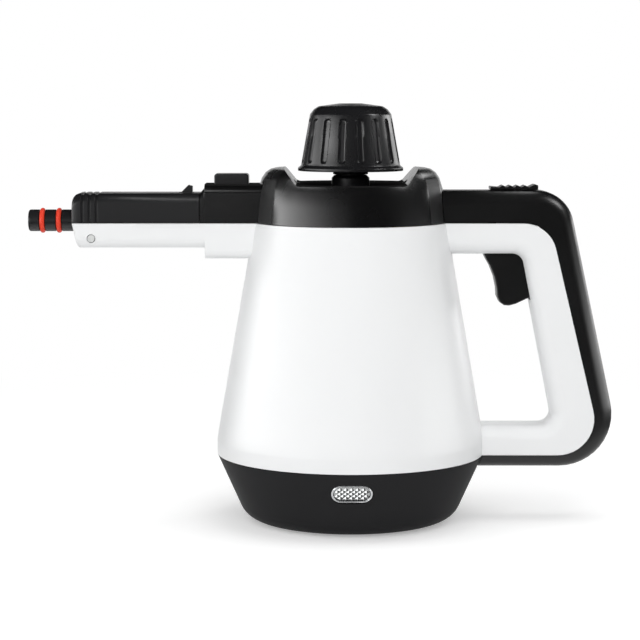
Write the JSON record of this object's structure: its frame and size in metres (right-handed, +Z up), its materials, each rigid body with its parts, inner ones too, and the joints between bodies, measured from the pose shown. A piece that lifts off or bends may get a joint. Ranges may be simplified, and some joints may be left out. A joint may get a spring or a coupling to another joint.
{
  "type": "handheld steam cleaner",
  "caption": "Handheld steam cleaner: conical body on a base, fluted safety cap over the filler neck, barrel with push-on nozzle, looped handle with trigger.",
  "frame": {"origin": "middle of the footprint, on the surface that the feet stand on", "axes": "+Z up, +X from the nozzle towards the handle, +Y away from the side with the lamp"},
  "size_m": [0.3112, 0.143, 0.2234],
  "materials": {
    "white_plastic": "moulded, smooth semi-gloss white",
    "black_gloss": "moulded, glossy black",
    "black_satin": "moulded, satin black",
    "black_matte": "moulded, fine matt texture",
    "grey_plastic": "light grey plastic",
    "red_rubber": "orange-red silicone rubber",
    "black_rubber": "black rubber",
    "silicone": "translucent silicone hose",
    "clear_lens": "clear lens with a fine faceted pattern",
    "chrome_trim": "bright trim ring",
    "lamp_bulb": "neon indicator",
    "cast_aluminium": "die-cast",
    "steel": "plain steel",
    "brass": "turned brass"
  },
  "bodies": {
    "root": {"body_shell_front": "white_plastic", "body_shell_rear": "white_plastic", "top_housing": "black_gloss", "nozzle_cover": "black_satin", "nozzle_tip": "black_satin", "base_shell": "black_satin", "filler_neck": "black_satin", "handle_spine": "black_matte", "nozzle_pin": "grey_plastic", "thermal_fuse": "grey_plastic", "o_ring_front": "red_rubber", "o_ring_rear": "red_rubber", "dish_seal": "black_rubber", "cord_gland": "black_rubber", "boiler_gasket": "black_rubber", "foot_1": "black_rubber", "foot_2": "black_rubber", "foot_3": "black_rubber", "foot_4": "black_rubber", "steam_hose": "silicone", "lamp_lens": "clear_lens", "lamp_bezel": "chrome_trim", "lamp_bulb": "lamp_bulb", "boiler_bottom": "cast_aluminium", "boiler_top": "cast_aluminium", "steam_pipe": "steel", "trigger_pin": "steel", "trigger_spring": "steel", "valve_spring": "steel", "latch_pin": "steel", "latch_spring": "steel", "base_screw_1": "steel", "base_screw_2": "steel", "base_screw_3": "steel", "base_screw_4": "steel", "heating_element": "steel", "thermostat": "steel", "shell_screw_1": "steel", "shell_screw_2": "steel", "shell_screw_3": "steel", "shell_screw_4": "steel", "nozzle_jet": "brass", "steam_valve": "brass"},
    "trigger": {"trigger": "black_matte"},
    "push_rod": {"push_rod": "steel"},
    "trigger_lock": {"lock_slider": "black_matte", "lock_bar": "black_matte"},
    "nozzle_latch": {"latch_lever": "black_satin"},
    "cap_seal_ring": {"cap_seal": "black_rubber"},
    "cap_core": {"cap_plug": "black_satin", "relief_valve": "steel", "cap_spring": "steel"},
    "cap_grip": {"cap_shell": "black_satin", "cap_retainer": "black_satin"}
  },
  "joints": [
    {"name": "trigger_squeeze", "type": "hinge", "parent": "root", "child": "trigger", "pos_m": [0.0914, 0, 0.15], "axis": [0, -1, 0], "range_deg": [0, 12], "stiffness_Nm_per_rad": 0.6, "springref_deg": -5.73},
    {"name": "valve_press", "type": "slide", "parent": "root", "child": "push_rod", "axis": [-1, 0, 0], "range_m": [0, 0.0018]},
    {"name": "lock_slide", "type": "slide", "parent": "root", "child": "trigger_lock", "axis": [-1, 0, 0], "range_m": [0, 0.006]},
    {"name": "latch_press", "type": "hinge", "parent": "root", "child": "nozzle_latch", "pos_m": [-0.0346, 0, 0.171], "axis": [0, -1, 0], "range_deg": [0, 5], "stiffness_Nm_per_rad": 0.5, "springref_deg": -5.73},
    {"name": "cap_lift", "type": "slide", "parent": "root", "child": "cap_seal_ring", "axis": [0, 0, 1], "range_m": [0, 0.012]},
    {"name": "cap_turn", "type": "hinge", "parent": "cap_seal_ring", "child": "cap_core", "pos_m": [0.0159, 0, 0.19], "axis": [0, 0, 1], "range_deg": [0, 1080]},
    {"name": "cap_press", "type": "slide", "parent": "cap_core", "child": "cap_grip", "axis": [0, 0, -1], "range_m": [0, 0.0035], "stiffness_N_per_m": 1200, "springref_m": -0.002, "deforming": ["cap_spring"]}
  ],
  "couplings": [
    {"joint": "valve_press", "follows": "trigger_squeeze", "m_per_rad": 0.0085},
    {"joint": "cap_lift", "follows": "cap_turn", "m_per_rad": 0.00063662}
  ]
}
